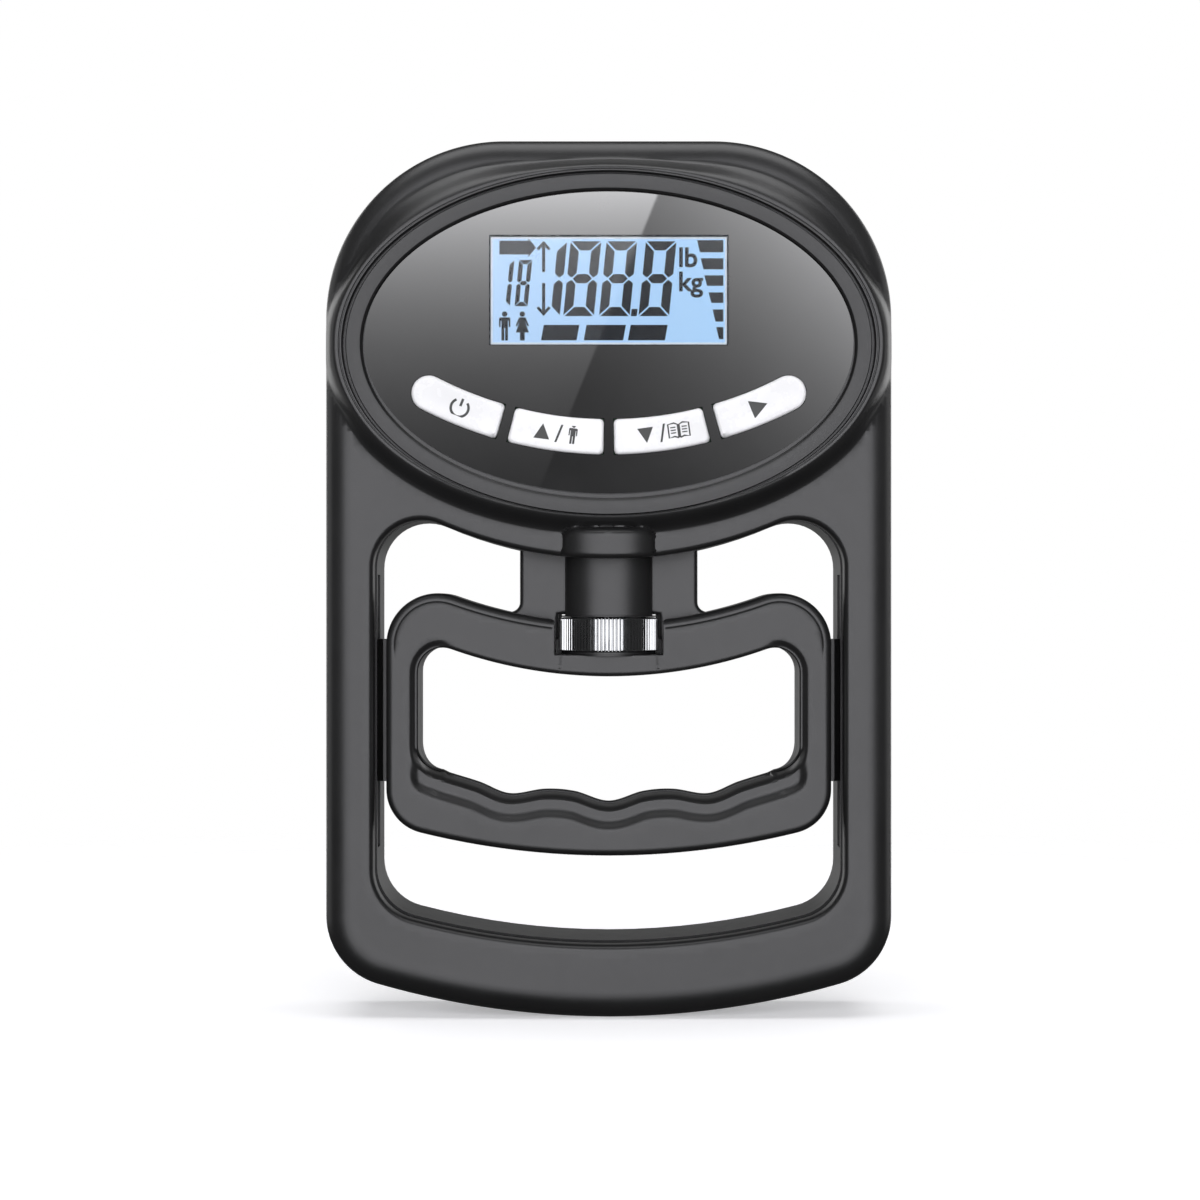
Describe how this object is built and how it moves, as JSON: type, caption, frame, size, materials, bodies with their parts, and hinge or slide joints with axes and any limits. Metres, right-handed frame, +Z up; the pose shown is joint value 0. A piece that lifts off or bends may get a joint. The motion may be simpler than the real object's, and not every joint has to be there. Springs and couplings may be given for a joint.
{
  "type": "hand dynamometer",
  "caption": "Electronic grip-strength meter: rounded frame with an oval display head and a sliding finger-loop handle set by a knurled wheel.",
  "frame": {"origin": "bottom centre of the bounding box: under the middle of the curved base, midway between the head's front rim and the flat rear", "axes": "+X to the right as seen by the user, -Y out of the display face, +Z up along the frame"},
  "size_m": [0.126, 0.03, 0.195],
  "materials": {
    "case_plastic": "fine satin texture, moulded",
    "handle_plastic": "fine satin texture, moulded",
    "ring_plastic": "satin, flat",
    "panel_gloss": "high gloss printed panel",
    "clear_window": "polished clear plastic",
    "lcd_glass": "pale blue-grey display with dark segments",
    "light_guide": "milky light guide",
    "elastomer": "banded elastomer",
    "circuit_board": "solder resist",
    "switch_metal": "tinned",
    "steel": "machined",
    "load_cell_alloy": "milled",
    "gauge_film": "amber film",
    "lead_insulation": "insulated wire",
    "brass": "turned",
    "battery_sleeve": "printed sleeve, no marks",
    "nickel_spring": "nickel plated",
    "screw_black": "black oxide",
    "wheel_chrome": "bright plated, straight knurl",
    "washer_plastic": "natural acetal",
    "key_white": "white with dark symbols"
  },
  "bodies": {
    "casing": {"front_case": "case_plastic", "rear_case": "case_plastic", "bezel_ring": "ring_plastic", "face_panel": "panel_gloss", "display_window": "clear_window", "lcd_glass": "lcd_glass", "lcd_backlight": "light_guide", "lcd_connector_strip": "elastomer", "main_board": "circuit_board", "key_switches": "switch_metal", "board_screws": "steel", "load_cell": "load_cell_alloy", "strain_gauges": "gauge_film", "load_cell_screws": "steel", "load_cell_leads": "lead_insulation", "nut_tube": "brass", "nut_tube_screws": "steel", "battery_lower": "battery_sleeve", "battery_upper": "battery_sleeve", "battery_springs": "nickel_spring", "battery_plates": "nickel_spring", "battery_leads": "lead_insulation", "case_screws": "screw_black"},
    "handle": {"handle_front": "handle_plastic", "handle_rear": "handle_plastic", "handle_screws": "screw_black", "thrust_washers": "washer_plastic"},
    "wheel": {"adjust_wheel": "wheel_chrome", "adjust_screw": "steel"},
    "door": {"battery_door": "case_plastic"},
    "power_key": {"power_key": "key_white"},
    "up_key": {"up_key": "key_white"},
    "down_key": {"down_key": "key_white"},
    "start_key": {"start_key": "key_white"}
  },
  "joints": [
    {"name": "grip_slide", "type": "slide", "parent": "casing", "child": "handle", "axis": [0, 0, 1], "range_m": [-0.013, 0.0125]},
    {"name": "wheel_spin", "type": "hinge", "parent": "handle", "child": "wheel", "pos_m": [0, 0.0025, 0.085], "axis": [0, 0, 1], "range_deg": [-2340, 2250]},
    {"name": "door_hinge", "type": "hinge", "parent": "casing", "child": "door", "pos_m": [0, 0.01395, 0.15315], "axis": [-1, 0, 0], "range_deg": [0, 95]},
    {"name": "power_key_press", "type": "slide", "parent": "casing", "child": "power_key", "axis": [0, 1, 0], "range_m": [0, 0.0004], "stiffness_N_per_m": 4000, "springref_m": -0.0001},
    {"name": "up_key_press", "type": "slide", "parent": "casing", "child": "up_key", "axis": [0, 1, 0], "range_m": [0, 0.0004], "stiffness_N_per_m": 4000, "springref_m": -0.0001},
    {"name": "down_key_press", "type": "slide", "parent": "casing", "child": "down_key", "axis": [0, 1, 0], "range_m": [0, 0.0004], "stiffness_N_per_m": 4000, "springref_m": -0.0001},
    {"name": "start_key_press", "type": "slide", "parent": "casing", "child": "start_key", "axis": [0, 1, 0], "range_m": [0, 0.0004], "stiffness_N_per_m": 4000, "springref_m": -0.0001}
  ],
  "couplings": [
    {"joint": "wheel_spin", "follows": "grip_slide", "rad_per_m": 3141.6}
  ]
}
